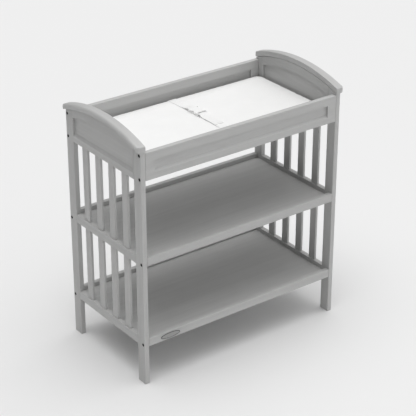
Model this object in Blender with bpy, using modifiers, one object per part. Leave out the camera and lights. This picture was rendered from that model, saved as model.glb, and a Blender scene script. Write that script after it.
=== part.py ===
"""A changing table: two arched, slatted ends joined by bolted rails, with a railed tray on top,
two shelves, a loose pad and a safety belt with a side-release buckle.

Metres, +Z up. X runs along the table, and its front faces -Y. The origin is on the floor under
the table's middle. Each sub-part is one object. The pad and what is sewn to it hang from the
empty pad_lift, and the buckle's tongue from buckle_release.
"""

import math

import bmesh
import bpy
from mathutils import Matrix, Vector

MM = 0.001
GAP = 0.3 * MM  # left between neighbouring pieces

# The two ends
LENGTH = 915 * MM  # over the posts' outer faces
DEPTH = 490 * MM
BOARD = 20 * MM  # thickness of the posts and of every rail
POST_WIDTH = 45 * MM
APEX = 1018 * MM
CAP_END_TOP = 974.5 * MM
CAP_WIDTH = 37 * MM  # from the head's inner face outwards
CAP_THICKNESS = 22 * MM
CAP_OVERHANG = 3 * MM  # past the posts, front and rear
CAP_OUTER_ROUND = 10.5 * MM  # above and below, fading out towards the ends
CAP_EDGE_ROUND = 2.5 * MM  # on its other long edges
CAP_CORNER = 17 * MM  # its outer corners, seen from above
CAP_NOSE_ROUND = 3 * MM  # over the front and rear ends
RAIL_HEIGHT = 34 * MM
RAIL_BOTTOMS = {"lower": 161 * MM, "upper": 499 * MM}
HEAD_BOTTOM = 836.5 * MM
HEAD_MARGIN = 35 * MM  # plain border above and below the sunk field
HEAD_SUNK = 8.2 * MM
HEAD_SLOPE = 11 * MM  # rise of the sloping sill under the sunk field
SLATS = 4
SLAT_WIDTH = 35 * MM
SLAT_THICKNESS = 10 * MM
SLAT_PITCH = 86.6 * MM
SLAT_HOUSING = 10 * MM  # how far a slat runs into the rail above and below

# What joins them
TOP_RAIL_BOTTOM = 839.3 * MM
TOP_RAIL_TOP = 947 * MM
SUNK_LENGTH = 796 * MM
SUNK_BOTTOM = 873 * MM
SUNK_TOP = 913.5 * MM
SUNK_DEPTH = 8 * MM
SUNK_SLOPE = 8 * MM  # rise of the sloping sill under it
PLATFORM_TOP = 853.6 * MM
PLATFORM_THICKNESS = 9 * MM
SHELF_DROP = 17 * MM  # from the top of its rails down to the shelf's surface
SHELF_THICKNESS = 12 * MM
GROOVE = 4 * MM  # depth of the grooves that hold the three boards

# Bolts, each screwed into a cross nut inside the rail
BOLT_EDGE = 8 * MM  # from the rail's edge to the bolt's axis
BOLT_SUNK = 0.4 * MM
HEAD_RADIUS = 6.1 * MM
HEAD_LENGTH = 7.1 * MM
SHANK_RADIUS = 3 * MM
SHANK_LENGTH = 50 * MM
HEX_RADIUS = 2.9 * MM
HEX_DEPTH = 3.5 * MM
NUT_RADIUS = 5 * MM
NUT_LENGTH = 11 * MM
NUT_INSET = 30 * MM  # from the rail's end to the nut's axis
COUNTERBORE_RADIUS = 6.7 * MM
COUNTERBORE_DEPTH = 8 * MM
BORE_RADIUS = 3.5 * MM

# Pad and belt
PAD_LENGTH = 872 * MM
PAD_WIDTH = 443 * MM
PAD_EDGE_HEIGHT = 31 * MM
PAD_CROWN = 3.4 * MM
PAD_EDGE_ROUND = 6 * MM
PAD_CORNER = 30 * MM
BELT_X = 1 * MM
BELT_WIDTH = 38 * MM
BELT_THICKNESS = 1.8 * MM
BELT_TAIL_Y = -90 * MM
BELT_STITCHED_Y = 112 * MM
BELT_RISE = 30 * MM  # over which the belt climbs from the pad to a buckle's bar
BUCKLE_WIDTH = 46 * MM
BUCKLE_HEIGHT = 11 * MM
BUCKLE_FRONT = 16 * MM
BUCKLE_MOUTH = 35 * MM
BUCKLE_REAR = 79 * MM
BUCKLE_CHEEK = 3 * MM
BUCKLE_BAR = 4 * MM
BUCKLE_BAR_HEIGHT = 4.2 * MM
BUCKLE_SLOT = 6 * MM
BUCKLE_ARM = 22 * MM
MOUTH_HEIGHT = 6.4 * MM

# Badge on the lower front shelf rail
BADGE_X = -341 * MM
BADGE_Z = 177.5 * MM
BADGE_LENGTH = 88 * MM
BADGE_HEIGHT = 24 * MM
BADGE_THICKNESS = 1.6 * MM

EDGE_ROUND = 2 * MM
SIDES = {"left": -1, "right": 1}
FACES = {"front": -1, "rear": 1}

POST_OUTER = LENGTH / 2
POST_INNER = POST_OUTER - BOARD
POST_EDGE = DEPTH / 2 - POST_WIDTH
RAIL_OUTER = DEPTH / 2
RAIL_INNER = RAIL_OUTER - BOARD
CAP_END = DEPTH / 2 + CAP_OVERHANG
RISE = APEX - CAP_END_TOP
CAP_RADIUS = (CAP_END**2 + RISE**2) / (2 * RISE)
ARC_CENTRE = APEX - CAP_RADIUS
UNDER_CAP = CAP_RADIUS - CAP_THICKNESS
PAD_BOTTOM = PLATFORM_TOP + GAP
BUCKLE_BOTTOM = PAD_BOTTOM + PAD_EDGE_HEIGHT + PAD_CROWN + GAP
BUCKLE_MIDDLE = BUCKLE_BOTTOM + BUCKLE_HEIGHT / 2
BELT_CLEAR = GAP + BELT_THICKNESS / 2


# ---- small tools ------------------------------------------------------------------------


def empty_scene():
    for old in list(bpy.data.objects):
        bpy.data.objects.remove(old, do_unlink=True)


def new_collection(name):
    collection = bpy.data.collections.new(name)
    bpy.context.scene.collection.children.link(collection)
    return collection


def principled(name, colour, roughness, metallic=0.0):
    material = bpy.data.materials.new(name)
    material.use_nodes = True
    shader = material.node_tree.nodes["Principled BSDF"]
    shader.inputs["Base Color"].default_value = (*colour, 1.0)
    shader.inputs["Roughness"].default_value = roughness
    shader.inputs["Metallic"].default_value = metallic
    return material


def mesh_from(bm, name):
    bmesh.ops.recalc_face_normals(bm, faces=bm.faces)
    mesh = bpy.data.meshes.new(name)
    bm.to_mesh(mesh)
    bm.free()
    return mesh


def box_mesh(low, high):
    """A box between two corners, about its own centre, and that centre."""
    low, high = Vector(low), Vector(high)
    bm = bmesh.new()
    bmesh.ops.create_cube(bm, size=1)
    bmesh.ops.scale(bm, vec=high - low, verts=bm.verts)
    return mesh_from(bm, "box"), (low + high) / 2


def cylinder_mesh(radius, length, axis, segments):
    bm = bmesh.new()
    bmesh.ops.create_cone(
        bm, cap_ends=True, segments=segments, radius1=radius, radius2=radius, depth=length
    )
    turn = Vector((0, 0, 1)).rotation_difference(Vector(axis)).to_matrix()
    bmesh.ops.rotate(bm, cent=(0, 0, 0), matrix=turn, verts=bm.verts)
    return mesh_from(bm, "cylinder")


def lofted(rings):
    """A closed mesh through rings of points, which all hold the same number."""
    bm = bmesh.new()
    rows = [[bm.verts.new(point) for point in ring] for ring in rings]
    for row, after in zip(rows, rows[1:]):
        for i in range(len(row)):
            j = (i + 1) % len(row)
            bm.faces.new((row[i], row[j], after[j], after[i]))
    bm.faces.new(rows[0])
    bm.faces.new(rows[-1])
    return mesh_from(bm, "loft")


def turned(profile, segments):
    """A solid of revolution about X, from its (x, radius) steps."""
    angles = [2 * math.pi * i / segments for i in range(segments)]
    return lofted(
        [[(x, r * math.cos(a), r * math.sin(a)) for a in angles] for x, r in profile]
    )


def sawn_mesh(outline, thickness):
    """Board of that thickness along X, sawn to an outline of (y, z) points."""
    curve = bpy.data.curves.new("outline", "CURVE")
    curve.dimensions = "2D"
    curve.fill_mode = "BOTH"
    curve.extrude = thickness / 2
    spline = curve.splines.new("POLY")
    spline.points.add(len(outline) - 1)
    for point, (y, z) in zip(spline.points, outline):
        point.co = (y, z, 0, 1)
    spline.use_cyclic_u = True
    drawn = bpy.data.objects.new("outline", curve)
    mesh = bpy.data.meshes.new_from_object(drawn)
    bpy.data.objects.remove(drawn)
    mesh.transform(Matrix(((0, 0, 1, 0), (1, 0, 0, 0), (0, 1, 0, 0), (0, 0, 0, 1))))
    bm = bmesh.new()
    bm.from_mesh(mesh)
    bmesh.ops.remove_doubles(bm, verts=bm.verts, dist=0.01 * MM)
    return mesh_from(bm, "sawn")


def corner_arc(x, y, radius, start, steps):
    """Points round a quarter circle about (x, y)."""
    angles = [math.radians(start + 90 * i / steps) for i in range(steps + 1)]
    return [(x + radius * math.cos(a), y + radius * math.sin(a)) for a in angles]


def rounded_outline(width, height, radius, steps):
    """Points around a rectangle with rounded corners, about its middle."""
    x, y = width / 2 - radius, height / 2 - radius
    corners = ((x, y), (-x, y), (-x, -y), (x, -y))
    points = []
    for i, (corner_x, corner_y) in enumerate(corners):
        points += corner_arc(corner_x, corner_y, radius, 90 * i, steps)
    return points


def add_part(name, mesh, material, centre=(0, 0, 0)):
    part = bpy.data.objects.new(name, mesh)
    part.location = centre
    if not mesh.materials:
        mesh.materials.append(material)
    TABLE.objects.link(part)
    return part


def add_block(name, low, high, material, radius=EDGE_ROUND):
    mesh, centre = box_mesh(low, high)
    part = add_part(name, mesh, material, centre)
    round_edges(part, radius)
    return part


def add_tool(mesh, centre):
    """A shape that other parts are cut by or joined with."""
    tool = bpy.data.objects.new("tool", mesh)
    tool.location = centre
    tool.display_type = "WIRE"
    tool.hide_render = True
    TOOLS.objects.link(tool)
    return tool


def round_edges(part, radius, segments=2):
    bevel = part.modifiers.new("Round", "BEVEL")
    bevel.width = radius
    bevel.segments = segments
    bevel.limit_method = "ANGLE"
    bevel.angle_limit = math.radians(40)


def combine(part, operation, mesh, centre):
    boolean = part.modifiers.new(operation.title(), "BOOLEAN")
    boolean.solver = "EXACT"
    boolean.operation = operation
    boolean.object = add_tool(mesh, centre)


def cut_box(part, low, high):
    combine(part, "DIFFERENCE", *box_mesh(low, high))


def join_box(part, low, high):
    combine(part, "UNION", *box_mesh(low, high))


def freeze(part):
    """The part's mesh with its modifiers worked in."""
    bpy.context.view_layer.update()
    evaluated = part.evaluated_get(bpy.context.evaluated_depsgraph_get())
    mesh = bpy.data.meshes.new_from_object(evaluated)
    part.modifiers.clear()
    part.data = mesh
    return mesh


def shade(part, degrees=35):
    part.data.shade_smooth()
    part.data.set_sharp_from_angle(angle=math.radians(degrees))


def hang(part, parent):
    """Makes the part follow the parent, and leaves it where it is."""
    bpy.context.view_layer.update()
    part.parent = parent
    part.matrix_parent_inverse = parent.matrix_world.inverted()


def add_pivot(name, location, parent=None):
    pivot = bpy.data.objects.new(name, None)
    pivot.empty_display_size = 0.05
    pivot.location = location
    TABLE.objects.link(pivot)
    if parent:
        hang(pivot, parent)
    return pivot


def along(side, a, b):
    """The span from a to b out from the middle, on the side of that sign, in rising order."""
    return sorted((side * a, side * b))


# ---- the ends ----------------------------------------------------------------------------


def arc_height(y, radius):
    return ARC_CENTRE + math.sqrt(radius**2 - y**2)


def arch_outline(y0, y1, bottom, radius, steps):
    """Straight foot and sides under an arc that runs with the cap."""
    points = [(y0, bottom), (y1, bottom)]
    for i in range(steps + 1):
        y = y1 + (y0 - y1) * i / steps
        points.append((y, arc_height(y, radius)))
    return points


def bolt_heights():
    heights = [bottom + BOLT_EDGE for bottom in RAIL_BOTTOMS.values()]
    return heights + [TOP_RAIL_BOTTOM + BOLT_EDGE, TOP_RAIL_TOP - BOLT_EDGE]


def bolt_line(face):
    return face * (RAIL_OUTER - BOARD / 2)


def add_post(side_name, face_name):
    side, face = SIDES[side_name], FACES[face_name]
    y0, y1 = along(face, POST_EDGE, RAIL_OUTER)
    mesh = sawn_mesh(arch_outline(y0, y1, 0, UNDER_CAP - GAP, 4), BOARD)
    x = side * (POST_OUTER - BOARD / 2)
    post = add_part(f"post_{face_name}_{side_name}", mesh, PAINT, (x, 0, 0))
    round_edges(post, EDGE_ROUND)
    hole = (
        (-1 * MM, COUNTERBORE_RADIUS),
        (COUNTERBORE_DEPTH, COUNTERBORE_RADIUS),
        (COUNTERBORE_DEPTH, BORE_RADIUS),
        (BOARD + 1 * MM, BORE_RADIUS),
    )
    for z in bolt_heights():
        drill = turned([(-side * x, r) for x, r in hole], 14)
        combine(post, "DIFFERENCE", drill, (side * POST_OUTER, bolt_line(face), z))
    shade(post)


def rounded_away(distance, radius):
    """How far a rounded corner has drawn back at that distance from the end."""
    if distance >= radius:
        return 0
    return radius - math.sqrt(radius**2 - (radius - distance) ** 2)


def cap_section(width, height, outer):
    """Flat on top, with its outer side rounded over and under by the outer radius."""
    edge = CAP_EDGE_ROUND
    points = corner_arc(width - outer, height - outer, outer, 0, 5)
    points += corner_arc(edge, height - edge, edge, 90, 2)
    points += corner_arc(edge, edge, edge, 180, 2)
    return points + corner_arc(width - outer, outer, outer, 270, 5)


def cap_ring(y, side):
    to_end = CAP_END - abs(y)
    width = CAP_WIDTH - rounded_away(to_end, CAP_CORNER)
    height = CAP_THICKNESS - rounded_away(to_end, CAP_NOSE_ROUND)
    fullness = min(to_end / CAP_CORNER, 1)
    outer = CAP_EDGE_ROUND + (CAP_OUTER_ROUND - CAP_EDGE_ROUND) * fullness
    under = arc_height(y, CAP_RADIUS) - CAP_THICKNESS
    return [(side * (POST_INNER + u), y, under + v) for u, v in cap_section(width, height, outer)]


def add_cap(side_name):
    end_steps, steps = 7, 20
    turn = [math.pi / 2 * i / end_steps for i in range(end_steps)]
    near_end = [CAP_END - CAP_CORNER * (1 - math.cos(a)) for a in turn]
    straight = CAP_END - CAP_CORNER
    middle = [straight * (2 * i / steps - 1) for i in range(steps + 1)]
    stations = [-y for y in near_end] + middle + near_end[::-1]
    mesh = lofted([cap_ring(y, SIDES[side_name]) for y in stations])
    shade(add_part(f"cap_{side_name}", mesh, PAINT), 50)


def slat_lines():
    return [SLAT_PITCH * (i - (SLATS - 1) / 2) for i in range(SLATS)]


def house_slats(part, side, edge):
    """Pockets for the slats' ends, sunk into the edge at that height from both sides of it."""
    middle = side * (POST_OUTER - BOARD / 2)
    reach = SLAT_THICKNESS / 2 + GAP
    for y in slat_lines():
        half = SLAT_WIDTH / 2 + GAP
        low = (middle - reach, y - half, edge - SLAT_HOUSING)
        high = (middle + reach, y + half, edge + SLAT_HOUSING)
        cut_box(part, low, high)


def sunk_field(face):
    """What is cut from one face of a head: an arched field with a sloping sill."""
    edge = POST_EDGE - 3 * MM
    rings = []
    for depth in (HEAD_SUNK, -1 * MM):
        sill = HEAD_BOTTOM + HEAD_MARGIN - HEAD_SLOPE * (1 - depth / HEAD_SUNK)
        field = arch_outline(-edge, edge, sill, UNDER_CAP - HEAD_MARGIN, 20)
        rings.append([(face * (BOARD / 2 - depth), y, z) for y, z in field])
    return lofted(rings)


def add_head(side_name):
    """The arched board under the cap, with a sunk field on both faces."""
    side = SIDES[side_name]
    edge = POST_EDGE - GAP
    x = side * (POST_OUTER - BOARD / 2)
    outline = arch_outline(-edge, edge, HEAD_BOTTOM, UNDER_CAP - GAP, 20)
    head = add_part(f"end_head_{side_name}", sawn_mesh(outline, BOARD), PAINT, (x, 0, 0))
    round_edges(head, 1 * MM)
    for face in (-1, 1):
        combine(head, "DIFFERENCE", sunk_field(face), (x, 0, 0))
    house_slats(head, side, HEAD_BOTTOM)
    shade(head)


def add_end_rail(side_name, level):
    side = SIDES[side_name]
    x0, x1 = along(side, POST_INNER, POST_OUTER)
    bottom = RAIL_BOTTOMS[level]
    top = bottom + RAIL_HEIGHT
    edge = POST_EDGE - GAP
    name = f"end_rail_{level}_{side_name}"
    rail = add_block(name, (x0, -edge, bottom), (x1, edge, top), PAINT, 1.5 * MM)
    house_slats(rail, side, top)
    if level == "upper":
        house_slats(rail, side, bottom)
    shade(rail)


def add_slats(side_name):
    side = SIDES[side_name]
    middle = side * (POST_OUTER - BOARD / 2)
    spans = {
        "lower": (RAIL_BOTTOMS["lower"] + RAIL_HEIGHT, RAIL_BOTTOMS["upper"]),
        "upper": (RAIL_BOTTOMS["upper"] + RAIL_HEIGHT, HEAD_BOTTOM),
    }
    housed = SLAT_HOUSING - GAP
    for level, (bottom, top) in spans.items():
        for i, y in enumerate(slat_lines(), 1):
            low = (middle - SLAT_THICKNESS / 2, y - SLAT_WIDTH / 2, bottom - housed)
            high = (middle + SLAT_THICKNESS / 2, y + SLAT_WIDTH / 2, top + housed)
            shade(add_block(f"slat_{level}_{side_name}_{i}", low, high, PAINT, 1.5 * MM))


# ---- rails and boards between the ends -----------------------------------------------------


def bore_rail(rail, face, heights):
    """Bolt holes in both ends, and cross holes, open to the rear, that take the nuts."""
    reach = NUT_INSET + 9 * MM
    bore = cylinder_mesh(BORE_RADIUS, reach + 1 * MM, (1, 0, 0), 12)
    seat_length = BOARD / 2 + NUT_LENGTH / 2 + 2 * MM
    seat = cylinder_mesh(NUT_RADIUS + GAP, seat_length, (0, 1, 0), 12)
    y = bolt_line(face)
    seat_y = y - NUT_LENGTH / 2 - 2 * GAP + seat_length / 2
    for side in SIDES.values():
        for z in heights:
            middle = POST_INNER - reach / 2 + 0.5 * MM
            combine(rail, "DIFFERENCE", bore, (side * middle, y, z))
            nut_x = side * (POST_INNER - NUT_INSET)
            combine(rail, "DIFFERENCE", seat, (nut_x, seat_y, z))


def groove_rail(rail, face, bottom, top):
    y0, y1 = along(face, RAIL_INNER - 1 * MM, RAIL_INNER + GROOVE)
    cut_box(rail, (-POST_OUTER, y0, bottom - GAP), (POST_OUTER, y1, top + GAP))


def rail_field(surface, inward):
    """What is cut from one face of a top rail: a long field with a sloping sill."""
    rings = []
    for depth in (SUNK_DEPTH, -1 * MM):
        sill = SUNK_BOTTOM - SUNK_SLOPE * (1 - depth / SUNK_DEPTH)
        outline = ((-1, sill), (1, sill), (1, SUNK_TOP), (-1, SUNK_TOP))
        rings.append([(x * SUNK_LENGTH / 2, surface + inward * depth, z) for x, z in outline])
    return lofted(rings)


def add_top_rail(face_name):
    face = FACES[face_name]
    y0, y1 = along(face, RAIL_INNER, RAIL_OUTER)
    end = POST_INNER - GAP
    low, high = (-end, y0, TOP_RAIL_BOTTOM), (end, y1, TOP_RAIL_TOP)
    rail = add_block(f"top_rail_{face_name}", low, high, PAINT)
    combine(rail, "DIFFERENCE", rail_field(face * RAIL_OUTER, -face), (0, 0, 0))
    combine(rail, "DIFFERENCE", rail_field(face * RAIL_INNER, face), (0, 0, 0))
    groove_rail(rail, face, PLATFORM_TOP - PLATFORM_THICKNESS, PLATFORM_TOP)
    bore_rail(rail, face, bolt_heights()[2:])
    shade(rail)


def add_shelf_rail(level, face_name):
    face = FACES[face_name]
    y0, y1 = along(face, RAIL_INNER, RAIL_OUTER)
    end = POST_INNER - GAP
    bottom = RAIL_BOTTOMS[level]
    top = bottom + RAIL_HEIGHT
    name = f"shelf_rail_{level}_{face_name}"
    rail = add_block(name, (-end, y0, bottom), (end, y1, top), PAINT)
    surface = top - SHELF_DROP
    groove_rail(rail, face, surface - SHELF_THICKNESS, surface)
    bore_rail(rail, face, [bottom + BOLT_EDGE])
    shade(rail)


def add_board(name, top, thickness):
    """A board held in the grooves of the rails in front of it and behind it."""
    x = POST_INNER - GAP
    y = RAIL_INNER + GROOVE - GAP
    board = add_block(name, (-x, -y, top - thickness), (x, y, top), PAINT, 0.5 * MM)
    shade(board)


def bolt_mesh():
    """Head, shank and cross nut in one, along +X from the head's outer face."""
    length = HEAD_LENGTH + SHANK_LENGTH
    profile = (
        (0, HEAD_RADIUS - 0.5 * MM),
        (0.5 * MM, HEAD_RADIUS),
        (HEAD_LENGTH, HEAD_RADIUS),
        (HEAD_LENGTH, SHANK_RADIUS),
        (length, SHANK_RADIUS),
    )
    bolt = add_part("bolt", turned(profile, 12), BOLT_BLACK)
    nut_x = BOARD - BOLT_SUNK + NUT_INSET
    nut = cylinder_mesh(NUT_RADIUS, NUT_LENGTH, (0, 1, 0), 12)
    combine(bolt, "UNION", nut, (nut_x, 0, 0))
    socket = cylinder_mesh(HEX_RADIUS, 2 * HEX_DEPTH, (1, 0, 0), 6)
    combine(bolt, "DIFFERENCE", socket, (0, 0, 0))
    mesh = freeze(bolt)
    bpy.data.objects.remove(bolt)
    return mesh


def add_bolts():
    mesh = bolt_mesh()
    for side_name, side in SIDES.items():
        for face_name, face in FACES.items():
            for i, z in enumerate(bolt_heights(), 1):
                x = side * (POST_OUTER - BOLT_SUNK)
                name = f"bolt_{face_name}_{side_name}_{i}"
                bolt = add_part(name, mesh, BOLT_BLACK, (x, bolt_line(face), z))
                if side > 0:
                    bolt.rotation_euler.z = math.pi
                shade(bolt)


def add_badge():
    """A plain oval plate, with nothing on it."""
    rings = []
    for depth, inset in ((0, 0), (0.6, 0), (0.85, 0.35), (1, 1)):
        y = -RAIL_OUTER - GAP - BADGE_THICKNESS * depth
        half_length = BADGE_LENGTH / 2 - inset * MM
        half_height = BADGE_HEIGHT / 2 - inset * MM
        angles = [2 * math.pi * i / 36 for i in range(36)]
        rings.append(
            [(half_length * math.cos(a), y, half_height * math.sin(a)) for a in angles]
        )
    shade(add_part("badge_plate", lofted(rings), BADGE_METAL, (BADGE_X, 0, BADGE_Z)), 50)


# ---- pad and belt --------------------------------------------------------------------------


def pad_profile():
    """(inset from the pad's outline, height over its underside), from below to the middle."""
    points = []
    for i in range(9):
        angle = math.radians(-90 + 180 * i / 8)
        inset = PAD_EDGE_ROUND * (1 - math.cos(angle))
        points.append((inset, PAD_EDGE_HEIGHT / 2 * (1 + math.sin(angle))))
    reach = PAD_WIDTH / 2 - PAD_EDGE_ROUND - 12 * MM
    for i in range(1, 8):
        share = (i / 7) ** 1.4
        height = PAD_EDGE_HEIGHT + PAD_CROWN * (1 - (1 - share) ** 2.2)
        points.append((PAD_EDGE_ROUND + reach * share, height))
    return points


def pad_height(y):
    """Height of the pad's top at that distance from the table's middle."""
    inset = PAD_WIDTH / 2 - abs(y)
    top = pad_profile()[8:]
    for (near, low), (far, high) in zip(top, top[1:]):
        if inset <= far:
            return PAD_BOTTOM + low + (high - low) * max(inset - near, 0) / (far - near)
    return PAD_BOTTOM + top[-1][1]


def add_pad(parent):
    rings = []
    for inset, height in pad_profile():
        corner = max(PAD_CORNER - inset, 3 * MM)
        outline = rounded_outline(PAD_LENGTH - 2 * inset, PAD_WIDTH - 2 * inset, corner, 5)
        rings.append([(x, y, PAD_BOTTOM + height) for x, y in outline])
    pad = add_part("pad", lofted(rings), PAD_COVER)
    hang(pad, parent)
    shade(pad, 60)


def offset_line(points, distance):
    """The line moved to its left by that distance, corner by corner."""
    moved = []
    for i, point in enumerate(points):
        steps = []
        if i > 0:
            steps.append((point - points[i - 1]).normalized())
        if i < len(points) - 1:
            steps.append((points[i + 1] - point).normalized())
        lefts = [Vector((-step.y, step.x)) for step in steps]
        normal = sum(lefts, Vector((0, 0))).normalized()
        moved.append(point + normal * distance / normal.dot(lefts[0]))
    return moved


def over_edge(face):
    """The belt's line round the pad's edge, from low on its side to its top."""
    half = PAD_WIDTH / 2
    edge = [
        Vector((face * (half - inset), PAD_BOTTOM + height))
        for inset, height in pad_profile()[2:9]
    ]
    return offset_line(edge, -face * BELT_CLEAR)


def lane(start, end, bar_y, bar_z, layer):
    """The belt's line over the pad's top, climbing to the buckle's bar where it nears it."""
    steps = max(round(abs(end - start) / (11 * MM)), 2)
    line = []
    for i in range(steps + 1):
        y = start + (end - start) * i / steps
        lying = pad_height(y) + BELT_CLEAR + layer(y) * (BELT_THICKNESS + GAP)
        share = max(1 - abs(y - bar_y) / BELT_RISE, 0)
        climb = share * share * (3 - 2 * share)
        line.append(Vector((y, lying + (bar_z - lying) * climb)))
    return line


def round_bar(bar_y, face, low_z, high_z):
    """The belt's line through the buckle's slot, from under its bar to over it."""
    y = bar_y - face * (BUCKLE_BAR + BELT_CLEAR)
    corner = 0.8 * MM
    return [
        Vector((y + face * corner, low_z)),
        Vector((y, low_z + corner)),
        Vector((y, high_z - corner)),
        Vector((y + face * corner, high_z)),
    ]


def add_band(name, line, parent):
    """Webbing of even thickness along a line of (y, z) points."""
    half = BELT_THICKNESS / 2
    rings = []
    for a, b in zip(offset_line(line, half), offset_line(line, -half)):
        corners = ((-1, a), (1, a), (1, b), (-1, b))
        rings.append([(x * BELT_WIDTH / 2, p.x, p.y) for x, p in corners])
    band = add_part(name, lofted(rings), WEBBING, (BELT_X, 0, 0))
    hang(band, parent)
    shade(band, 40)


def add_belts(parent):
    """The rear half is sewn round the socket's bar. The front half is threaded through the
    tongue, and its tail lies back over it."""
    low_z = BUCKLE_MIDDLE - BUCKLE_BAR_HEIGHT / 2 - BELT_CLEAR
    high_z = BUCKLE_MIDDLE + BUCKLE_BAR_HEIGHT / 2 + BELT_CLEAR
    top_edge = PAD_WIDTH / 2 - PAD_EDGE_ROUND - 8 * MM

    under = lane(-top_edge, BUCKLE_FRONT, BUCKLE_FRONT, low_z, lambda y: 0)
    over = lane(BUCKLE_FRONT, BELT_TAIL_Y, BUCKLE_FRONT, high_z, lambda y: 1)
    turn = round_bar(BUCKLE_FRONT, -1, low_z, high_z)
    add_band("belt_front", over_edge(-1) + under + turn + over, parent)

    def upper_layer(y):
        return min(max((BELT_STITCHED_Y + 14 * MM - y) / (12 * MM), 0), 1)

    under = lane(BELT_STITCHED_Y, BUCKLE_REAR, BUCKLE_REAR, low_z, lambda y: 0)
    over = lane(BUCKLE_REAR, top_edge, BUCKLE_REAR, high_z, upper_layer)
    turn = round_bar(BUCKLE_REAR, 1, low_z, high_z)
    down = list(reversed(over_edge(1)))
    add_band("belt_rear", under + turn + over + down, parent)


def buckle_blank(name, near, far):
    """A buckle half's outer block, from its free edge to the edge where the halves meet."""
    half = BUCKLE_WIDTH / 2
    y0, y1 = sorted((near, far))
    low = (BELT_X - half, y0, BUCKLE_BOTTOM)
    high = (BELT_X + half, y1, BUCKLE_BOTTOM + BUCKLE_HEIGHT)
    return add_block(name, low, high, BUCKLE_PLASTIC, 2.2 * MM)


def open_bar(half_buckle, edge, inward):
    """Leaves a bar at the free edge, with a slot behind it and room for the belt round it."""
    reach = BUCKLE_WIDTH / 2 - BUCKLE_CHEEK
    outside = edge - inward * 1 * MM
    slot_near = edge + inward * BUCKLE_BAR
    slot_far = slot_near + inward * BUCKLE_SLOT
    bar_low = BUCKLE_MIDDLE - BUCKLE_BAR_HEIGHT / 2
    bar_high = BUCKLE_MIDDLE + BUCKLE_BAR_HEIGHT / 2
    below, above = BUCKLE_BOTTOM - 1 * MM, BUCKLE_BOTTOM + BUCKLE_HEIGHT + 1 * MM
    for start, low_z, high_z in (
        (outside, below, bar_low),
        (outside, bar_high, above),
        (slot_near, below, above),
    ):
        y0, y1 = sorted((start, slot_far))
        low = (BELT_X - reach, y0, low_z)
        cut_box(half_buckle, low, (BELT_X + reach, y1, high_z))


def add_socket(parent):
    socket = buckle_blank("buckle_socket", BUCKLE_REAR, BUCKLE_MOUTH)
    open_bar(socket, BUCKLE_REAR, -1)
    half = BUCKLE_WIDTH / 2 - 4 * MM
    depth = BUCKLE_ARM + 4 * MM
    low = (BELT_X - half, BUCKLE_MOUTH - 1 * MM, BUCKLE_MIDDLE - MOUTH_HEIGHT / 2)
    high = (BELT_X + half, BUCKLE_MOUTH + depth, BUCKLE_MIDDLE + MOUTH_HEIGHT / 2)
    cut_box(socket, low, high)
    finger = cylinder_mesh(10 * MM, 2 * BUCKLE_HEIGHT, (0, 0, 1), 20)
    for side in SIDES.values():
        x = BELT_X + side * (BUCKLE_WIDTH / 2 + 5 * MM)
        combine(socket, "DIFFERENCE", finger, (x, BUCKLE_MOUTH + 13 * MM, BUCKLE_MIDDLE))
    hang(socket, parent)
    shade(socket)


def add_tongue(parent):
    tongue = buckle_blank("buckle_tongue", BUCKLE_FRONT, BUCKLE_MOUTH - GAP)
    open_bar(tongue, BUCKLE_FRONT, 1)
    root = BUCKLE_MOUTH - 2 * MM
    outer = BUCKLE_WIDTH / 2 - 4 * MM - GAP
    prongs = [(-outer, -outer + 5.5 * MM, BUCKLE_ARM), (outer - 5.5 * MM, outer, BUCKLE_ARM)]
    prongs.append((-3 * MM, 3 * MM, 0.75 * BUCKLE_ARM))
    reach_z = MOUTH_HEIGHT / 2 - GAP
    for x0, x1, length in prongs:
        low = (BELT_X + x0, root, BUCKLE_MIDDLE - reach_z)
        high = (BELT_X + x1, BUCKLE_MOUTH + length, BUCKLE_MIDDLE + reach_z)
        join_box(tongue, low, high)
    hang(tongue, parent)
    shade(tongue)


# ---- the whole table -----------------------------------------------------------------------

empty_scene()
TABLE = new_collection("changing_table")
TOOLS = new_collection("tools")
PAINT = principled("grey_paint", (0.56, 0.56, 0.555), 0.42)
PAD_COVER = principled("pad_cover", (0.93, 0.93, 0.92), 0.5)
WEBBING = principled("webbing", (0.92, 0.92, 0.91), 0.8)
BUCKLE_PLASTIC = principled("buckle_plastic", (0.88, 0.88, 0.88), 0.35)
BOLT_BLACK = principled("bolt_black", (0.02, 0.02, 0.02), 0.4, 1.0)
BADGE_METAL = principled("badge_metal", (0.2, 0.21, 0.22), 0.4, 1.0)

for side_name in SIDES:
    for face_name in FACES:
        add_post(side_name, face_name)
    add_cap(side_name)
    add_head(side_name)
    for level in RAIL_BOTTOMS:
        add_end_rail(side_name, level)
    add_slats(side_name)

for face_name in FACES:
    add_top_rail(face_name)
    for level in RAIL_BOTTOMS:
        add_shelf_rail(level, face_name)

add_board("platform", PLATFORM_TOP, PLATFORM_THICKNESS)
for level, bottom in RAIL_BOTTOMS.items():
    add_board(f"shelf_{level}", bottom + RAIL_HEIGHT - SHELF_DROP, SHELF_THICKNESS)

add_bolts()
add_badge()

pad_lift = add_pivot("pad_lift", (0, 0, PAD_BOTTOM))
add_pad(pad_lift)
add_belts(pad_lift)
add_socket(pad_lift)
release = add_pivot("buckle_release", (BELT_X, BUCKLE_MOUTH, BUCKLE_MIDDLE), pad_lift)
add_tongue(release)
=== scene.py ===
"""How the changing table looks: paint, pad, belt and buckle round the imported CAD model.

Metres, +Z up, in the model's own frame: X runs along the table and its front faces -Y.
"""

import math

import bmesh
import bpy
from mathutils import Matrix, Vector, noise
from mathutils.bvhtree import BVHTree


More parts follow.
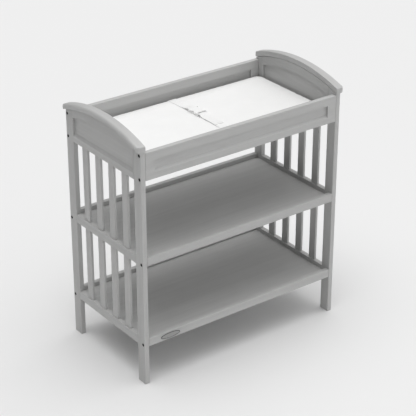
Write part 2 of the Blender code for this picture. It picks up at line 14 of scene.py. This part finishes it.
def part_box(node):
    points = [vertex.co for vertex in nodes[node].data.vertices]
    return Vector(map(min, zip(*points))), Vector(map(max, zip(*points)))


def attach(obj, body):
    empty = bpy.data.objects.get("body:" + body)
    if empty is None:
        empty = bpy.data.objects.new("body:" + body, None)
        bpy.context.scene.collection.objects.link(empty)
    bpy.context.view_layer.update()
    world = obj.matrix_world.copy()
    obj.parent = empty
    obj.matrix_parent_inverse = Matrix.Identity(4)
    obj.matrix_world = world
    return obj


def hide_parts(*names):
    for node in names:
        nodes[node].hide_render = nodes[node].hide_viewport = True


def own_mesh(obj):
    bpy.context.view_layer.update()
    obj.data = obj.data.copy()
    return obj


MM = 0.001
UP = Vector((0, 0, 1))

# Camera
AZIMUTH = math.radians(-36.608)
ELEVATION = math.radians(26.9)
AIM = Vector((0, -0.0212, 0.5122))
DISTANCE = 5.7086
SENSOR = 36  # camera sensor and lens in mm
LENS = 127.95

# Light: the studio's brightness is the sum of soft lobes, as (direction, tightness, strength)
LOBES = (
    ((0, 0, 1), 4, 1.5),
    ((-0.14, -0.03, 0.99), 16, 3.5),
    ((0, -1, 0), 2, 0.5),
    ((1, 0, 0), 2, 0.95),
)
AMBIENT = 0.02
FLOOR_GREY = 0.8
FLOOR_HALF = 12

# Colours
PAINT = (0.5, 0.5, 0.495)
COVER = (0.9, 0.9, 0.895)
WEBBING = (0.92, 0.92, 0.915)
PLASTIC = (0.9, 0.9, 0.895)
BLACKENED = (0.007, 0.007, 0.008)
BADGE_FIELD = (0.36, 0.36, 0.355)
BADGE_DARK = (0.03, 0.03, 0.031)

# Wood grain: how closely it varies across and along, in cycles for each metre
GRAIN_ACROSS = 55.0
GRAIN_ALONG = 2.2

# Pad
EDGE_HEIGHT = 31 * MM
CORNER = 30 * MM  # radius of the pad's corners, seen from above
VOXEL = 6 * MM
SLACK = 1.2 * MM  # how far in the cover starts, and the most that it fills out
FILL_FRAMES = 20
FILL_PRESSURE = 4
SEAM_SHARE = 0.5  # height of the side seam, as a share of the pad's edge
SEAM_DEPTH = 1.3 * MM
SEAM_HEIGHT = 2.2 * MM  # over which the drawn-in groove fades, up and down
SEAM_REACH = 6 * MM
WELT_RADIUS = 0.9 * MM
WELT_POINTS = 720
PUCKER_PITCH = 19 * MM
PUCKER_DEPTH = 0.6 * MM
PUCKER_REACH = 34 * MM
PUCKER_STRETCH = 1.9  # about the pad's length over its width
TOP_SHARE = 0.7  # above this share of the pad's edge, the foam's unevenness shows
TOP_DEPTH = 0.5 * MM

# Webbing: its herringbone's half width, its ribs and its yarns
CHEVRON = 4.75 * MM
RIB = 1.9 * MM
YARN = 1.05 * MM

# Belt
BELT_WIDTH = 38 * MM
BELT_THICKNESS = 1.8 * MM
BELT_GAP = 0.3 * MM
BELT_LIFT = BELT_GAP + BELT_THICKNESS / 2  # from a surface to the middle of webbing on it
BELT_TAIL_Y = -90 * MM
BELT_STITCHED_Y = 112 * MM
BELT_RISE = 30 * MM  # over which the belt climbs from the pad to a buckle's bar
BELT_STEP = 2 * MM
LANE_STEP = 3 * MM
BAR_STEPS = 12  # in the half turn round a bar

# Stitches
HEM = 11 * MM
BOX_STITCH = 14 * MM
STITCH = 2.6 * MM
STITCH_GAP = 0.14  # share of a stitch's length left open at each of its ends
STITCH_INSET = 4 * MM  # from the webbing's edge
STITCH_MARGIN = 3 * MM  # from the webbing's end
STITCH_ARCH = ((0, -0.25), (0.2, 0.25), (0.5, 0.38), (0.8, 0.25), (1, -0.25))  # share, mm up
THREAD_RADIUS = 0.32 * MM

# Buckle
BAR = 4 * MM
BAR_HEIGHT = 4.2 * MM
PLASTIC_VOXEL = 0.6 * MM
PLASTIC_CROWN = 1.3 * MM

# Rim round the badge
RIM_WIDTH = 1.9 * MM
RIM_HEIGHT = 0.6 * MM
RIM_POINTS = 72

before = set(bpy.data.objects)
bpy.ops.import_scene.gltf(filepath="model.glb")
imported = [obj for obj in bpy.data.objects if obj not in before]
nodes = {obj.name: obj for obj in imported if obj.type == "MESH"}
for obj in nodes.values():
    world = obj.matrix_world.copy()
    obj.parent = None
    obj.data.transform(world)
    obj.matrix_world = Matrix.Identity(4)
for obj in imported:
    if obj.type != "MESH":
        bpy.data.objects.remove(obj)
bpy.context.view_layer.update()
BELT_X = sum(corner.x for corner in map(Vector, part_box("belt_front"))) / 2
PAD_LOW, PAD_HIGH = map(Vector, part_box("pad"))
PAD_HALF = (PAD_HIGH - PAD_LOW) / 2
PAD_MIDDLE = (PAD_HIGH + PAD_LOW) / 2
SEAM_Z = PAD_LOW.z + EDGE_HEIGHT * SEAM_SHARE
SOCKET_LOW, SOCKET_HIGH = map(Vector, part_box("buckle_socket"))
TONGUE_LOW = Vector(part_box("buckle_tongue")[0])
BUCKLE_Z = (SOCKET_LOW.z + SOCKET_HIGH.z) / 2


# ---- node materials ------------------------------------------------------------------------


class Graph:
    """Short calls for building the node tree of a material or a world."""

    def __init__(self, owner, shader):
        self.owner = owner
        owner.use_nodes = True
        self.tree = owner.node_tree
        self.shader = self.tree.nodes[shader]

    def node(self, kind, settings=None, **inputs):
        made = self.tree.nodes.new("ShaderNode" + kind)
        for key, value in (settings or {}).items():
            setattr(made, key, value)
        for key, value in inputs.items():
            self.feed(made, key.replace("_", " "), value)
        return made

    def feed(self, made, socket, value):
        """Sets an input by its name, or by its place when the name is i and a number."""
        target = made.inputs[int(socket[1:])] if socket[1:].isdigit() else made.inputs[socket]
        if isinstance(value, bpy.types.NodeSocket):
            self.tree.links.new(value, target)
        else:
            target.default_value = value

    def set(self, **inputs):
        for key, value in inputs.items():
            self.feed(self.shader, key.replace("_", " "), value)

    def math(self, operation, a, b=0.0):
        return self.node("Math", {"operation": operation}, i0=a, i1=b).outputs[0]

    def vector(self, operation, a, b):
        return self.node("VectorMath", {"operation": operation}, i0=a, i1=b)

    def place(self):
        return self.node("TexCoord").outputs["Object"]

    def scaled(self, vector, scale):
        return self.vector("MULTIPLY", vector, scale).outputs[0]

    def noise(self, vector, scale, detail=3.0, roughness=0.5):
        made = self.node("TexNoise", Vector=vector, Scale=scale, Detail=detail, Roughness=roughness)
        return made.outputs["Fac"]

    def span(self, value, low, high, out_low, out_high):
        made = self.node("MapRange", Value=value)
        for socket, number in zip(made.inputs[1:5], (low, high, out_low, out_high)):
            socket.default_value = number
        return made.outputs[0]

    def product(self, *factors):
        total = factors[0]
        for factor in factors[1:]:
            total = self.math("MULTIPLY", total, factor)
        return total

    def tint(self, colour, factor):
        """The colour, made lighter or darker by a factor near one."""
        return self.node("VectorMath", {"operation": "SCALE"}, i0=colour, Scale=factor).outputs[0]

    def bump(self, height, distance, strength=1.0, normal=None):
        made = self.node("Bump", Height=height, Distance=distance, Strength=strength)
        if normal:
            self.feed(made, "Normal", normal)
        return made.outputs[0]


def new_material(name):
    return Graph(bpy.data.materials.new(name), "Principled BSDF")


def painted_wood(name, along):
    """Satin paint over wood whose grain runs along one axis and still shows a little."""
    g = new_material(name)
    place = g.place()
    scale = [GRAIN_ALONG if axis == along else GRAIN_ACROSS for axis in "xyz"]
    streaks = g.noise(g.scaled(place, scale), 1.0, detail=5.0, roughness=0.6)
    broad = g.noise(g.scaled(place, [s / 5 for s in scale]), 1.0, detail=2.0)
    pores = g.noise(g.scaled(place, [s * 6 for s in scale]), 1.0, detail=2.0)
    peel = g.noise(place, 900.0, detail=2.0)
    shade = g.product(
        g.span(streaks, 0.3, 0.7, 0.95, 1.035),
        g.span(broad, 0.3, 0.7, 0.965, 1.025),
        g.span(pores, 0.25, 0.45, 0.965, 1.0),
    )
    fine = g.bump(peel, 0.06 * MM, strength=0.5)
    relief = g.math("ADD", streaks, g.math("MULTIPLY", pores, 0.4))
    g.set(
        Base_Color=g.tint(PAINT, shade),
        Roughness=g.span(streaks, 0.3, 0.7, 0.5, 0.42),
        Normal=g.bump(relief, 0.25 * MM, strength=0.5, normal=fine),
    )
    return g.owner


def wipeable_cover():
    """Close, smooth knit with a thin coating, a little uneven over the foam."""
    g = new_material("pad_cover")
    place = g.place()
    waves = []
    for axis in ("X", "Y"):
        settings = {"wave_type": "BANDS", "bands_direction": axis}
        wave = g.node("TexWave", settings, Vector=place, Scale=420.0, Distortion=0.6, Detail=1.0)
        waves.append(wave.outputs["Fac"])
    knit = g.math("MULTIPLY", *waves)
    cloudy = g.noise(place, 14.0)
    specks = g.noise(place, 700.0, detail=2.0)
    shade = g.product(
        g.span(cloudy, 0.3, 0.7, 0.985, 1.01),
        g.span(knit, 0.0, 1.0, 0.975, 1.0),
        g.span(specks, 0.3, 0.7, 0.985, 1.01),
    )
    soft = g.bump(g.noise(place, 38.0, detail=4.0), 1.2 * MM, strength=0.12)
    g.set(
        Base_Color=g.tint(COVER, shade),
        Roughness=g.span(cloudy, 0.3, 0.7, 0.62, 0.52),
        Normal=g.bump(knit, 0.12 * MM, strength=0.5, normal=soft),
        Sheen_Weight=0.08,
    )
    return g.owner


def woven_belt():
    """Herringbone webbing, drawn in each belt's own across and along."""
    g = new_material("belt_webbing")
    lay = g.node("Attribute", {"attribute_name": "lay"}).outputs["Vector"]
    split = g.node("SeparateXYZ", Vector=lay).outputs
    across, along = split[0], split[1]
    zigzag = g.math("PINGPONG", across, CHEVRON)
    slanted = g.math("ADD", along, zigzag)
    ribs = g.math("SINE", g.math("MULTIPLY", slanted, 2 * math.pi / RIB))
    yarns = g.math("SINE", g.math("MULTIPLY", across, 2 * math.pi / YARN))
    selvedge = BELT_WIDTH / 2 - BELT_THICKNESS
    ribbed = g.span(g.math("ABSOLUTE", across), selvedge - 0.6 * MM, selvedge, 1, 0)
    weave = g.math("ADD", g.product(ribs, ribbed, 0.7), g.math("MULTIPLY", yarns, 0.3))
    fuzz = g.noise(lay, 1400.0, detail=2.0)
    shade = g.product(g.span(weave, -1, 1, 0.95, 1.01), g.span(fuzz, 0.3, 0.7, 0.985, 1.01))
    relief = g.math("ADD", weave, g.math("MULTIPLY", fuzz, 0.3))
    g.set(
        Base_Color=g.tint(WEBBING, shade),
        Roughness=0.82,
        Normal=g.bump(relief, 0.3 * MM, strength=0.6),
        Sheen_Weight=0.15,
    )
    return g.owner


def sewing_thread():
    g = new_material("sewing_thread")
    twist = g.noise(g.place(), 2600.0, detail=1.0)
    g.set(Base_Color=g.tint(WEBBING, g.span(twist, 0.3, 0.7, 0.88, 1.0)), Roughness=0.7)
    return g.owner


def moulded_plastic():
    g = new_material("buckle_plastic")
    place = g.place()
    spark = g.noise(place, 2400.0, detail=2.0)
    flow = g.noise(place, 60.0, detail=2.0)
    g.set(
        Base_Color=g.tint(PLASTIC, g.span(flow, 0.3, 0.7, 0.98, 1.01)),
        Roughness=g.span(spark, 0.3, 0.7, 0.34, 0.46),
        Normal=g.bump(spark, 0.04 * MM, strength=0.5),
        IOR=1.49,
    )
    return g.owner


def black_oxide():
    g = new_material("bolt_black")
    place = g.place()
    worn = g.noise(place, 900.0)
    pitted = g.noise(place, 3000.0, detail=2.0)
    g.set(
        Base_Color=g.tint(BLACKENED, g.span(worn, 0.35, 0.75, 0.8, 1.7)),
        Roughness=g.span(worn, 0.3, 0.7, 0.7, 0.55),
        Specular_IOR_Level=0.15,
        Normal=g.bump(pitted, 0.03 * MM, strength=0.5),
    )
    return g.owner


def brushed_badge(name, colour, metallic):
    g = new_material(name)
    place = g.place()
    brushed = g.noise(g.scaled(place, (60.0, 2500.0, 2500.0)), 1.0)
    g.set(
        Base_Color=g.tint(colour, g.span(brushed, 0.3, 0.7, 0.85, 1.12)),
        Roughness=g.span(brushed, 0.3, 0.7, 0.32, 0.5),
        Metallic=metallic,
        Normal=g.bump(brushed, 0.02 * MM, strength=0.5),
    )
    return g.owner


def finish_node(name, material):
    for slot in nodes[name].material_slots:
        slot.material = material


def finish_nodes():
    grain = {axis: painted_wood(f"paint_grain_{axis}", axis) for axis in "xyz"}
    black = black_oxide()
    for name in nodes:
        if name.startswith(("post_", "slat_")):
            finish_node(name, grain["z"])
        elif name.startswith(("cap_", "end_")):
            finish_node(name, grain["y"])
        elif name.startswith(("top_rail", "shelf_", "platform")):
            finish_node(name, grain["x"])
        elif name.startswith("bolt_"):
            finish_node(name, black)
    finish_node("badge_plate", brushed_badge("badge_metal", BADGE_FIELD, 0.75))


# ---- small tools ---------------------------------------------------------------------------


def new_piece(name, mesh, material, body):
    piece = bpy.data.objects.new(name, mesh)
    bpy.context.scene.collection.objects.link(piece)
    mesh.materials.clear()
    mesh.materials.append(material)
    mesh.shade_smooth()
    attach(piece, body)
    return piece


def mesh_from(bm, name):
    bmesh.ops.recalc_face_normals(bm, faces=bm.faces)
    mesh = bpy.data.meshes.new(name)
    bm.to_mesh(mesh)
    bm.free()
    return mesh


def ring(bm, centre, side, rise, sides):
    """Vertices round a point, on the ellipse with these two half axes."""
    turns = [2 * math.pi * k / sides for k in range(sides)]
    return [bm.verts.new(centre + side * math.cos(t) + rise * math.sin(t)) for t in turns]


def skin(bm, rows, looped=False):
    """Faces between rows of vertices, which close on themselves or have a flat end each way."""
    for row, after in zip(rows, rows[1:] + rows[:1] if looped else rows[1:]):
        for i in range(len(row)):
            j = (i + 1) % len(row)
            bm.faces.new((row[i], row[j], after[j], after[i]))
    if not looped:
        bm.faces.new(rows[0])
        bm.faces.new(rows[-1])


def evaluated_mesh(piece):
    bpy.context.view_layer.update()
    graph = bpy.context.evaluated_depsgraph_get()
    return bpy.data.meshes.new_from_object(piece.evaluated_get(graph))


def worked_in(piece):
    """The piece's mesh with its modifiers applied."""
    mesh = evaluated_mesh(piece)
    piece.modifiers.clear()
    piece.data = mesh
    return mesh


def working_copy(node):
    piece = bpy.data.objects.new("working_copy", nodes[node].data.copy())
    bpy.context.scene.collection.objects.link(piece)
    return piece


def remesh(piece, voxel):
    made = piece.modifiers.new("Remesh", "REMESH")
    made.mode = "VOXEL"
    made.voxel_size = voxel
    return worked_in(piece)


def smoothstep(x):
    x = min(max(x, 0), 1)
    return x * x * (3 - 2 * x)


# ---- pad -----------------------------------------------------------------------------------


def edge_distance(point):
    """How far a point lies inside the pad's outline, seen from above."""
    dx = abs(point.x - PAD_MIDDLE.x) - (PAD_HALF.x - CORNER)
    dy = abs(point.y - PAD_MIDDLE.y) - (PAD_HALF.y - CORNER)
    outside = math.hypot(max(dx, 0), max(dy, 0)) + min(max(dx, dy), 0)
    return CORNER - outside


def on_seam(point):
    """Whether a point is in the row of the cover's mesh that lies along the side seam."""
    return abs(point.z - SEAM_Z) < VOXEL * 0.6 and edge_distance(point) < VOXEL / 2


def fill_cover(piece, normals):
    """Fills the cover with cloth pressure, held at its side seam, out to the foam's own form."""
    start = [v.co.copy() for v in piece.data.vertices]
    held = [i for i, point in enumerate(start) if on_seam(point)]
    piece.vertex_groups.new(name="seam").add(held, 1.0, "REPLACE")
    cloth = piece.modifiers.new("Cloth", "CLOTH")
    cloth.settings.vertex_group_mass = "seam"
    cloth.settings.use_pressure = True
    cloth.settings.uniform_pressure_force = FILL_PRESSURE
    cloth.settings.effector_weights.gravity = 0
    cloth.settings.quality = 4
    cloth.point_cache.frame_end = FILL_FRAMES
    scene = bpy.context.scene
    for number in range(1, FILL_FRAMES + 1):
        scene.frame_set(number)
    swollen = evaluated_mesh(piece)
    piece.modifiers.clear()
    for vertex, before, after, normal in zip(piece.data.vertices, start, swollen.vertices, normals):
        filled = (after.co - before).dot(normal)
        vertex.co = before + normal * min(max(filled, 0), SLACK)
    bpy.data.meshes.remove(swollen)
    scene.frame_set(1)


def draw_in(mesh, tree, depth):
    """Puts every point at an even depth under a surface, and returns the surface's normals."""
    normals = []
    for vertex in mesh.vertices:
        surface, normal = tree.find_nearest(vertex.co)[:2]
        vertex.co = surface - normal * depth
        normals.append(normal)
    return normals


def pucker(mesh):
    """Draws the cover in at its seam, with small gathers that fade on to its top."""
    for vertex in mesh.vertices:
        point = vertex.co
        inside = edge_distance(point)
        if inside > PUCKER_REACH:
            continue
        offset = point - PAD_MIDDLE
        outward = Vector((offset.x, offset.y * PUCKER_STRETCH, 0)).normalized()
        height = abs(point.z - SEAM_Z) / (EDGE_HEIGHT / 2)
        turn = noise.noise(Vector((point.x, point.y, 0)) / PUCKER_PITCH + Vector((3, 5, 0)))
        near = 1 - smoothstep(inside / PUCKER_REACH)
        groove = math.exp(-((point.z - SEAM_Z) / SEAM_HEIGHT) ** 2)
        drawn = SEAM_DEPTH * groove * (1 - smoothstep(inside / SEAM_REACH))
        point.x -= outward.x * drawn
        point.y -= outward.y * drawn
        if point.z > SEAM_Z:
            point.z -= PUCKER_DEPTH * near * (0.5 + turn) * min(height, 1)


def soften_top(mesh):
    """Faint, broad unevenness of the foam under the cover."""
    for vertex in mesh.vertices:
        height = (vertex.co.z - PAD_LOW.z) / EDGE_HEIGHT
        share = smoothstep((height - TOP_SHARE) / (1 - TOP_SHARE))
        drift = noise.noise(vertex.co * 9) + 0.5 * noise.noise(vertex.co * 24 + Vector((7, 1, 0)))
        vertex.co.z -= TOP_DEPTH * share * (0.6 + drift)


def add_pad(cover):
    piece = working_copy("pad")
    remesh(piece, VOXEL)
    foam = BVHTree.FromPolygons(
        [v.co.copy() for v in nodes["pad"].data.vertices],
        [list(face.vertices) for face in nodes["pad"].data.polygons],
    )
    fill_cover(piece, draw_in(piece.data, foam, SLACK))
    subdivision = piece.modifiers.new("Subdivision", "SUBSURF")
    subdivision.levels = subdivision.render_levels = 1
    mesh = worked_in(piece)
    pucker(mesh)
    soften_top(mesh)
    for vertex in mesh.vertices:
        vertex.co.z = min(max(vertex.co.z, PAD_LOW.z), PAD_HIGH.z)
    bpy.data.objects.remove(piece)
    pad = new_piece("pad_cover", mesh, cover, "pad")
    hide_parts("pad")
    return pad


def add_welt(tree, material):
    """The thin welt of the cover's side seam, set in the groove that the seam draws."""
    centre = Vector((PAD_MIDDLE.x, PAD_MIDDLE.y, SEAM_Z))
    path = []
    for i in range(WELT_POINTS):
        angle = 2 * math.pi * i / WELT_POINTS
        aim = Vector((PAD_HALF.x * math.cos(angle), PAD_HALF.y * math.sin(angle), 0)) * 3
        path.append(tree.ray_cast(centre + aim, -aim.normalized())[0])
    bm = bmesh.new()
    rows = []
    for i, point in enumerate(path):
        step = (path[(i + 1) % WELT_POINTS] - path[i - 1]).normalized()
        rows.append(ring(bm, point, step.cross(UP) * WELT_RADIUS, UP * WELT_RADIUS, 6))
    skin(bm, rows, looped=True)
    new_piece("pad_welt", mesh_from(bm, "pad_welt"), material, "pad")


# ---- belt ----------------------------------------------------------------------------------


def resampled(line, step):
    """Points an even step apart along a line of points."""
    spans = [(b - a).length for a, b in zip(line, line[1:])]
    count = max(round(sum(spans) / step), 2)
    goal = sum(spans) / count
    points, travelled, wanted = [line[0]], 0.0, goal
    for a, b, span in zip(line, line[1:], spans):
        while travelled + span >= wanted - 1e-9 and len(points) < count:
            points.append(a.lerp(b, (wanted - travelled) / span))
            wanted += goal
        travelled += span
    return points + [line[-1]]


def relaxed(line, passes):
    for _ in range(passes):
        inner = [(a + 2 * b + c) / 4 for a, b, c in zip(line, line[1:], line[2:])]
        line = [line[0]] + inner + [line[-1]]
    return line


def pad_top(tree, y):
    above = PAD_HIGH.z + 1
    return tree.ray_cast(Vector((BELT_X, y, above)), -UP)[0].z


def round_edge(tree, face):
    """The belt's line round the pad's edge, from low on its side up to its top."""
    y = face * (PAD_HIGH.y - EDGE_HEIGHT / 2)
    centre = Vector((BELT_X, y, PAD_LOW.z + EDGE_HEIGHT / 2))
    line = []
    for degrees in range(-38, 89, 7):
        angle = math.radians(degrees)
        aim = Vector((0, face * math.cos(angle), math.sin(angle)))
        line.append(tree.ray_cast(centre, aim)[0] + aim * BELT_LIFT)
    limit = PAD_HIGH.y + BELT_LIFT
    for point in line:
        point.y = face * min(face * point.y, limit)
    return line


def lane(tree, start, end, bar_y, bar_z, layer):
    """The belt's line over the pad's top, climbing to the buckle's bar where it nears it."""
    count = max(round(abs(end - start) / LANE_STEP), 2)
    line = []
    for i in range(count + 1):
        y = start + (end - start) * i / count
        lying = pad_top(tree, y) + BELT_LIFT + layer(y) * (BELT_THICKNESS + BELT_GAP)
        climb = smoothstep(1 - abs(y - bar_y) / BELT_RISE)
        line.append(Vector((BELT_X, y, lying + (bar_z - lying) * climb)))
    return line


def round_bar(bar_y, face, low_z, high_z):
    """The belt's line round a buckle's bar, from under it to over it."""
    middle = (low_z + high_z) / 2
    radius = (high_z - low_z) / 2
    reach = BAR / 2 + BELT_LIFT
    line = []
    for i in range(1, BAR_STEPS):
        angle = math.pi * (i / BAR_STEPS - 0.5)
        y = bar_y - face * (BAR / 2 + reach * math.cos(angle))
        line.append(Vector((BELT_X, y, middle + radius * math.sin(angle))))
    return line


def belt_section():
    """Points round the webbing's section, as (across, through), with rounded selvedges."""
    radius = BELT_THICKNESS / 2
    flat = BELT_WIDTH / 2 - radius
    points = []
    for face in (1, -1):
        for i in range(9):
            points.append((face * flat * (1 - i / 4), face * radius))
        for i in (1, 2, 3):
            turn = i * math.pi / 4
            across = flat + radius * math.sin(turn)
            points.append((-face * across, face * radius * math.cos(turn)))
    return points


def band_mesh(name, line):
    """Webbing along a line, with each point's place across and along it kept as lay."""
    bm = bmesh.new()
    lay = bm.verts.layers.float_vector.new("lay")
    section = belt_section()
    rows = []
    travelled = 0
    for i, point in enumerate(line):
        before, after = line[max(i - 1, 0)], line[min(i + 1, len(line) - 1)]
        step = (after - before).normalized()
        normal = Vector((0, -step.z, step.y))
        travelled += (point - line[max(i - 1, 0)]).length
        row = []
        for across, through in section:
            vertex = bm.verts.new(point + Vector((across, 0, 0)) + normal * through)
            vertex[lay] = (across, travelled, through)
            row.append(vertex)
        rows.append(row)
    skin(bm, rows)
    return mesh_from(bm, name), travelled


def on_belt(line, across, y):
    """The point on the upper side of a belt's topmost layer at that y."""
    pairs = zip(line, line[1:])
    spans = [(a, b) for a, b in pairs if (a.y - y) * (b.y - y) <= 0 and a.y != b.y]
    z = max(a.lerp(b, (y - a.y) / (b.y - a.y)).z for a, b in spans)
    return Vector((BELT_X + across, y, z + BELT_THICKNESS / 2))


def add_stitches(name, line, runs, material):
    """Short thread loops along runs, each given by where its two ends lie on the webbing."""
    bm = bmesh.new()
    for start, end in runs:
        run = end - start
        count = max(round(run.length / STITCH), 1)
        side = Vector((run.y, -run.x, 0)).normalized()
        for i in range(count):
            a = on_belt(line, *start.lerp(end, (i + STITCH_GAP) / count))
            b = on_belt(line, *start.lerp(end, (i + 1 - STITCH_GAP) / count))
            rows = []
            for share, lift in STITCH_ARCH:
                centre = a.lerp(b, share) + UP * (lift * MM)
                rows.append(ring(bm, centre, side * THREAD_RADIUS, UP * THREAD_RADIUS, 6))
            skin(bm, rows)
    return new_piece(name, mesh_from(bm, name), material, "pad")


def box_runs(start, end, crossed):
    """Runs of stitches round a box between two places along the belt, and across it."""
    x = BELT_WIDTH / 2 - STITCH_INSET
    corners = [Vector(corner) for corner in ((-x, start), (x, start), (x, end), (-x, end))]
    runs = list(zip(corners, corners[1:] + corners[:1]))
    if crossed:
        runs += [(corners[0], corners[2]), (corners[1], corners[3])]
    return runs


def upper_layer(y):
    """How much of a layer lies under the rear half, which steps down behind its sewn end."""
    return smoothstep((BELT_STITCHED_Y + 14 * MM - y) / (12 * MM))


def belt_lines(tree):
    """The front half is threaded through the tongue, and its tail lies back over it. The rear
    half is sewn round the socket's bar."""
    reach = BAR_HEIGHT / 2 + BELT_LIFT
    low_z, high_z = BUCKLE_Z - reach, BUCKLE_Z + reach
    front_bar, rear_bar = TONGUE_LOW.y, SOCKET_HIGH.y
    edge = PAD_HIGH.y - EDGE_HEIGHT / 2 - LANE_STEP

    front = round_edge(tree, -1)
    front += lane(tree, -edge, front_bar, front_bar, low_z, lambda y: 0)
    front += round_bar(front_bar, -1, low_z, high_z)
    front += lane(tree, front_bar, BELT_TAIL_Y, front_bar, high_z, lambda y: 1)

    rear = lane(tree, BELT_STITCHED_Y, rear_bar, rear_bar, low_z, lambda y: 0)
    rear += round_bar(rear_bar, 1, low_z, high_z)
    rear += lane(tree, rear_bar, edge, rear_bar, high_z, upper_layer)
    rear += list(reversed(round_edge(tree, 1)))
    return front, rear


def add_belt(name, line, runs, webbing, thread):
    """The webbing and the stitches of one half, in place of its node."""
    line = relaxed(resampled(line, BELT_STEP), 2)
    mesh, length = band_mesh(f"{name}_webbing", line)
    belt = new_piece(f"{name}_webbing", mesh, webbing, "pad")
    stitches = add_stitches(f"{name}_stitches", line, runs, thread)
    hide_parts(name)
    return belt, stitches


def add_belts(tree, webbing, thread):
    front, rear = belt_lines(tree)
    hem = box_runs(BELT_TAIL_Y + STITCH_MARGIN, BELT_TAIL_Y + HEM, False)
    sewn_y = BELT_STITCHED_Y - STITCH_MARGIN
    front_pieces = add_belt("belt_front", front, hem, webbing, thread)
    add_belt("belt_rear", rear, box_runs(sewn_y, sewn_y - BOX_STITCH, True), webbing, thread)
    for piece in front_pieces:
        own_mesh(piece)


# ---- buckle and badge ----------------------------------------------------------------------


def add_buckle_half(node, body, material):
    """Moulded form of a buckle half: softened edges and a crowned top."""
    piece = working_copy(node)
    remesh(piece, PLASTIC_VOXEL)
    smoother = piece.modifiers.new("Smooth", "SMOOTH")
    smoother.factor = 0.5
    smoother.iterations = 5
    mesh = worked_in(piece)
    middle_y = (TONGUE_LOW.y + SOCKET_HIGH.y) / 2
    half_x = (SOCKET_HIGH.x - SOCKET_LOW.x) / 2
    half_y = (SOCKET_HIGH.y - TONGUE_LOW.y) / 2
    for vertex in mesh.vertices:
        height = (vertex.co.z - BUCKLE_Z) / (SOCKET_HIGH.z - BUCKLE_Z)
        if height > 0:
            across = (vertex.co.x - BELT_X) / half_x
            along = (vertex.co.y - middle_y) / half_y
            dome = max(1 - across**2, 0) * max(1 - along**4, 0)
            vertex.co.z += PLASTIC_CROWN * height * dome
    bpy.data.objects.remove(piece)
    moulded = new_piece(f"{node}_moulded", mesh, material, body)
    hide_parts(node)


def add_badge_rim(material):
    """A raised bead round the plain oval plate."""
    low, high = map(Vector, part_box("badge_plate"))
    middle = (low + high) / 2
    half_x = (high.x - low.x) / 2 - RIM_WIDTH
    half_z = (high.z - low.z) / 2 - RIM_WIDTH
    bm = bmesh.new()
    rows = []
    for i in range(RIM_POINTS):
        angle = 2 * math.pi * i / RIM_POINTS
        x, z = half_x * math.cos(angle), half_z * math.sin(angle)
        out = Vector((math.cos(angle) / half_x, 0, math.sin(angle) / half_z)).normalized()
        point = Vector((middle.x + x, low.y, middle.z + z))
        rows.append(ring(bm, point, out * (RIM_WIDTH / 2), Vector((0, RIM_HEIGHT, 0)), 8))
    skin(bm, rows, looped=True)
    new_piece("badge_rim", mesh_from(bm, "badge_rim"), material, "root")


# ---- stage ---------------------------------------------------------------------------------


def light_scene():
    """A plain soft studio: broad lobes of light from above, in front and the right."""
    world = bpy.data.worlds.new("studio")
    g = Graph(world, "Background")
    direction = g.node("TexCoord").outputs["Generated"]
    total = AMBIENT
    for axis, tightness, strength in LOBES:
        facing = g.math("MAXIMUM", g.vector("DOT_PRODUCT", direction, axis).outputs["Value"], 0)
        lobe = g.math("MULTIPLY", g.math("POWER", facing, tightness), strength)
        total = g.math("ADD", lobe, total)
    g.set(Color=g.node("CombineColor", i0=total, i1=total, i2=total).outputs[0], Strength=1.0)
    bpy.context.scene.world = world


def add_floor():
    mesh = bpy.data.meshes.new("floor")
    corners = [(x * FLOOR_HALF, y * FLOOR_HALF, 0) for x, y in ((-1, -1), (1, -1), (1, 1), (-1, 1))]
    mesh.from_pydata(corners, [], [(0, 1, 2, 3)])
    floor = bpy.data.objects.new("floor", mesh)
    bpy.context.scene.collection.objects.link(floor)
    g = new_material("floor")
    g.set(Base_Color=(FLOOR_GREY, FLOOR_GREY, FLOOR_GREY, 1), Roughness=0.9)
    mesh.materials.append(g.owner)


def add_camera():
    data = bpy.data.cameras.new("camera")
    data.lens = LENS
    data.sensor_width = SENSOR
    camera = bpy.data.objects.new("camera", data)
    level = math.cos(ELEVATION)
    back = Vector((math.sin(AZIMUTH) * level, -math.cos(AZIMUTH) * level, math.sin(ELEVATION)))
    camera.location = AIM + back * DISTANCE
    camera.rotation_euler = (math.pi / 2 - ELEVATION, 0, AZIMUTH)
    bpy.context.scene.collection.objects.link(camera)
    bpy.context.scene.camera = camera


# ---- the whole scene -----------------------------------------------------------------------

finish_nodes()
cover = wipeable_cover()
pad = add_pad(cover)
pad_tree = BVHTree.FromObject(pad, bpy.context.evaluated_depsgraph_get())
add_welt(pad_tree, cover)
add_belts(pad_tree, woven_belt(), sewing_thread())
plastic = moulded_plastic()
add_buckle_half("buckle_socket", "pad", plastic)
add_buckle_half("buckle_tongue", "tongue", plastic)
add_badge_rim(brushed_badge("badge_rim", BADGE_DARK, 0.3))
light_scene()
add_floor()
add_camera()
bpy.context.scene.view_settings.view_transform = "Standard"
